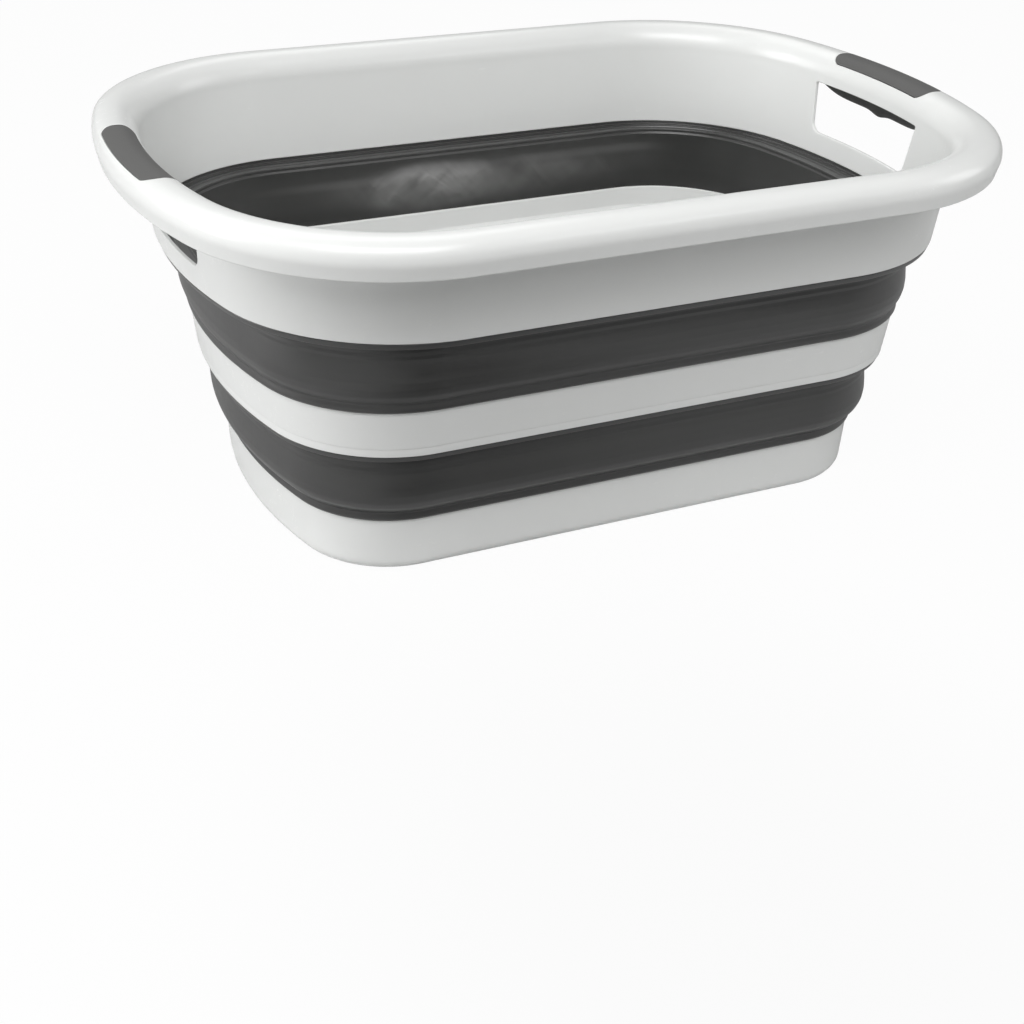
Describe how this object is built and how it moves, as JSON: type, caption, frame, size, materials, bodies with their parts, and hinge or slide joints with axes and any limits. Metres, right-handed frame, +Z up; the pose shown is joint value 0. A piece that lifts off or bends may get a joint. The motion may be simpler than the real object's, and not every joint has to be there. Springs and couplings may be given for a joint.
{
  "type": "collapsible laundry tub",
  "caption": "Collapsible oblong laundry tub: stiff rimmed shell, ring and base tray joined by soft fold bands, handle windows in the ends.",
  "frame": {"origin": "centre of the tub on the surface it stands on, open", "axes": "+X along the tub's length towards one handle, +Y across it, +Z up through the open top"},
  "size_m": [0.6, 0.43, 0.255],
  "materials": {
    "white_shell": "smooth glossy white polypropylene, slightly cool",
    "fold_band": "dark grey thermoplastic elastomer with a broad satin sheen",
    "grip_pad": "matt mid-grey thermoplastic elastomer",
    "grip_liner": "matt dark grey thermoplastic elastomer"
  },
  "bodies": {
    "base": {"base_tray": "white_shell", "lower_fold_band": "fold_band"},
    "middle": {"middle_ring": "white_shell", "upper_fold_band": "fold_band"},
    "upper": {"upper_shell": "white_shell", "left_grip_pad": "grip_pad", "right_grip_pad": "grip_pad", "left_grip_liner": "grip_liner", "right_grip_liner": "grip_liner"}
  },
  "joints": [
    {"name": "lower_fold", "type": "slide", "parent": "base", "child": "middle", "axis": [0, 0, -1], "range_m": [0, 0.089], "deforming": ["lower_fold_band"]},
    {"name": "upper_fold", "type": "slide", "parent": "middle", "child": "upper", "axis": [0, 0, -1], "range_m": [0, 0.0855], "deforming": ["upper_fold_band"]}
  ]
}
